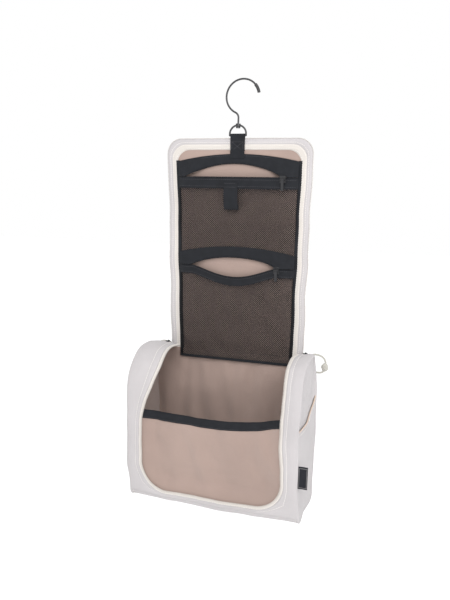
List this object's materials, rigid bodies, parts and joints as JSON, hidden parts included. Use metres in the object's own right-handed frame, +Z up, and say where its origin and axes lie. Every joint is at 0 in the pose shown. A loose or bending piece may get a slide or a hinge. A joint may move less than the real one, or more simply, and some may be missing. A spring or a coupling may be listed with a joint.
{
  "type": "hanging toiletry bag",
  "caption": "Soft toiletry bag that hangs from a swivelling wire hook; its long lid opens upwards and carries zipped mesh pockets, above a deep compartment with side pockets.",
  "frame": {"origin": "inside of the hook's crown, where a rail touches it", "axes": "+Z up, front faces -Y, +X to the right of somebody facing the bag"},
  "size_m": [0.2692, 0.113, 0.5731],
  "materials": {
    "canvas_white": "plain-woven coated canvas, matt",
    "lining_rose": "smooth polyester lining, slight sheen",
    "zip_tape_cream": "herringbone zip tape with a nylon coil",
    "zip_tape_black": "woven zip tape with a nylon coil",
    "webbing_black": "ribbed polyester webbing",
    "mesh_black": "open diamond net",
    "binding_black": "grosgrain binding tape",
    "piping_sand": "folded piping",
    "label_black": "blank woven tab",
    "cord_cream": "braided cord",
    "black_metal": "satin black lacquer on steel",
    "zip_metal_black": "black lacquered zinc",
    "black_plastic": "soft matt sleeve"
  },
  "bodies": {
    "hook": {"hook_wire": "black_metal", "hook_tip_cap": "black_plastic", "shank_rivet": "black_metal"},
    "d_ring": {"d_ring": "black_metal"},
    "hanger": {"hanger_webbing": "webbing_black"},
    "lid_top": {"hanger_tail": "webbing_black", "lid_canvas_top": "canvas_white", "lid_lining_top": "lining_rose", "lid_border_top": "zip_tape_cream", "upper_zip_upper_tape": "zip_tape_black", "upper_zip_lower_tape": "zip_tape_black", "upper_mesh": "mesh_black", "hook_keeper": "webbing_black"},
    "lid_middle": {"lid_canvas_middle": "canvas_white", "lid_lining_middle": "lining_rose", "lid_border_middle_left": "zip_tape_cream", "lid_border_middle_right": "zip_tape_cream", "upper_mesh_hem": "mesh_black", "lower_zip_upper_tape": "zip_tape_black", "lower_zip_lower_tape": "zip_tape_black"},
    "lid_lower": {"lid_canvas_lower": "canvas_white", "lid_lining_lower": "lining_rose", "lid_border_lower_left": "zip_tape_cream", "lid_border_lower_right": "zip_tape_cream", "lower_mesh_upper": "mesh_black"},
    "lid_base": {"lid_canvas_base": "canvas_white", "lid_lining_base": "lining_rose", "lid_border_base_left": "zip_tape_cream", "lid_border_base_right": "zip_tape_cream", "lower_mesh_base": "mesh_black"},
    "upper_slider": {"upper_zip_slider": "zip_metal_black"},
    "upper_puller": {"upper_zip_puller": "zip_metal_black"},
    "lower_slider": {"lower_zip_slider": "zip_metal_black"},
    "lower_puller": {"lower_zip_puller": "zip_metal_black"},
    "bag": {"back_canvas": "canvas_white", "back_lining": "lining_rose", "bottom_canvas": "canvas_white", "bottom_lining": "lining_rose", "gusset_left": "canvas_white", "gusset_right": "canvas_white", "gusset_lining_left": "lining_rose", "gusset_lining_right": "lining_rose", "rim_left": "canvas_white", "rim_right": "canvas_white", "front_band": "canvas_white", "mouth_tape_left": "zip_tape_cream", "mouth_tape_right": "zip_tape_cream", "mouth_tape_front": "zip_tape_cream", "front_panel": "lining_rose", "front_panel_binding": "binding_black", "side_pocket_left": "canvas_white", "side_pocket_right": "canvas_white", "side_pocket_pipings": "piping_sand", "seam_label": "label_black", "main_slider_left": "zip_metal_black", "main_slider_right": "zip_metal_black", "pull_cord_left": "cord_cream", "pull_cord_right": "cord_cream", "cord_knot_left": "cord_cream", "cord_knot_right": "cord_cream"}
  },
  "joints": [
    {"name": "hook_swivel", "type": "hinge", "parent": "hook", "child": "d_ring", "pos_m": [0, 0, -0.0595], "axis": [0, 0, 1], "continuous": true},
    {"name": "ring_swing", "type": "hinge", "parent": "d_ring", "child": "hanger", "pos_m": [0, 0, -0.0731], "axis": [-1, 0, 0], "range_deg": [-90, 90]},
    {"name": "hanger_fold", "type": "hinge", "parent": "hanger", "child": "lid_top", "pos_m": [0, 0.00111, -0.07753], "axis": [-1, 0, 0], "range_deg": [0, 75]},
    {"name": "fold_top", "type": "hinge", "parent": "lid_top", "child": "lid_middle", "pos_m": [0, 0.01429, -0.21294], "axis": [1, 0, 0], "range_deg": [-22, 0]},
    {"name": "fold_middle", "type": "hinge", "parent": "lid_middle", "child": "lid_lower", "pos_m": [0, 0.01903, -0.28078], "axis": [1, 0, 0], "range_deg": [-54, 0]},
    {"name": "fold_lower", "type": "hinge", "parent": "lid_lower", "child": "lid_base", "pos_m": [0, 0.02245, -0.32966], "axis": [1, 0, 0], "range_deg": [-52, 0]},
    {"name": "lid_hinge", "type": "hinge", "parent": "lid_base", "child": "bag", "pos_m": [0, 0.02552, -0.37355], "axis": [1, 0, 0], "range_deg": [-48, 0]},
    {"name": "upper_zip_slide", "type": "slide", "parent": "lid_top", "child": "upper_slider", "axis": [1, 0, 0], "range_m": [-0.122, 0]},
    {"name": "upper_pull_swing", "type": "hinge", "parent": "upper_slider", "child": "upper_puller", "pos_m": [0.066, -0.00587, -0.13115], "axis": [-1, 0, 0], "range_deg": [0, 150]},
    {"name": "lower_zip_slide", "type": "slide", "parent": "lid_middle", "child": "lower_slider", "axis": [1, 0, 0], "range_m": [-0.116, 0]},
    {"name": "lower_pull_swing", "type": "hinge", "parent": "lower_slider", "child": "lower_puller", "pos_m": [0.06, 0.00265, -0.25285], "axis": [-1, 0, 0], "range_deg": [0, 150]}
  ],
  "couplings": [
    {"joint": "fold_lower", "follows": "lid_hinge", "ratio": 1.0833},
    {"joint": "fold_middle", "follows": "lid_hinge", "ratio": 1.125},
    {"joint": "fold_top", "follows": "lid_hinge", "ratio": 0.45833}
  ]
}
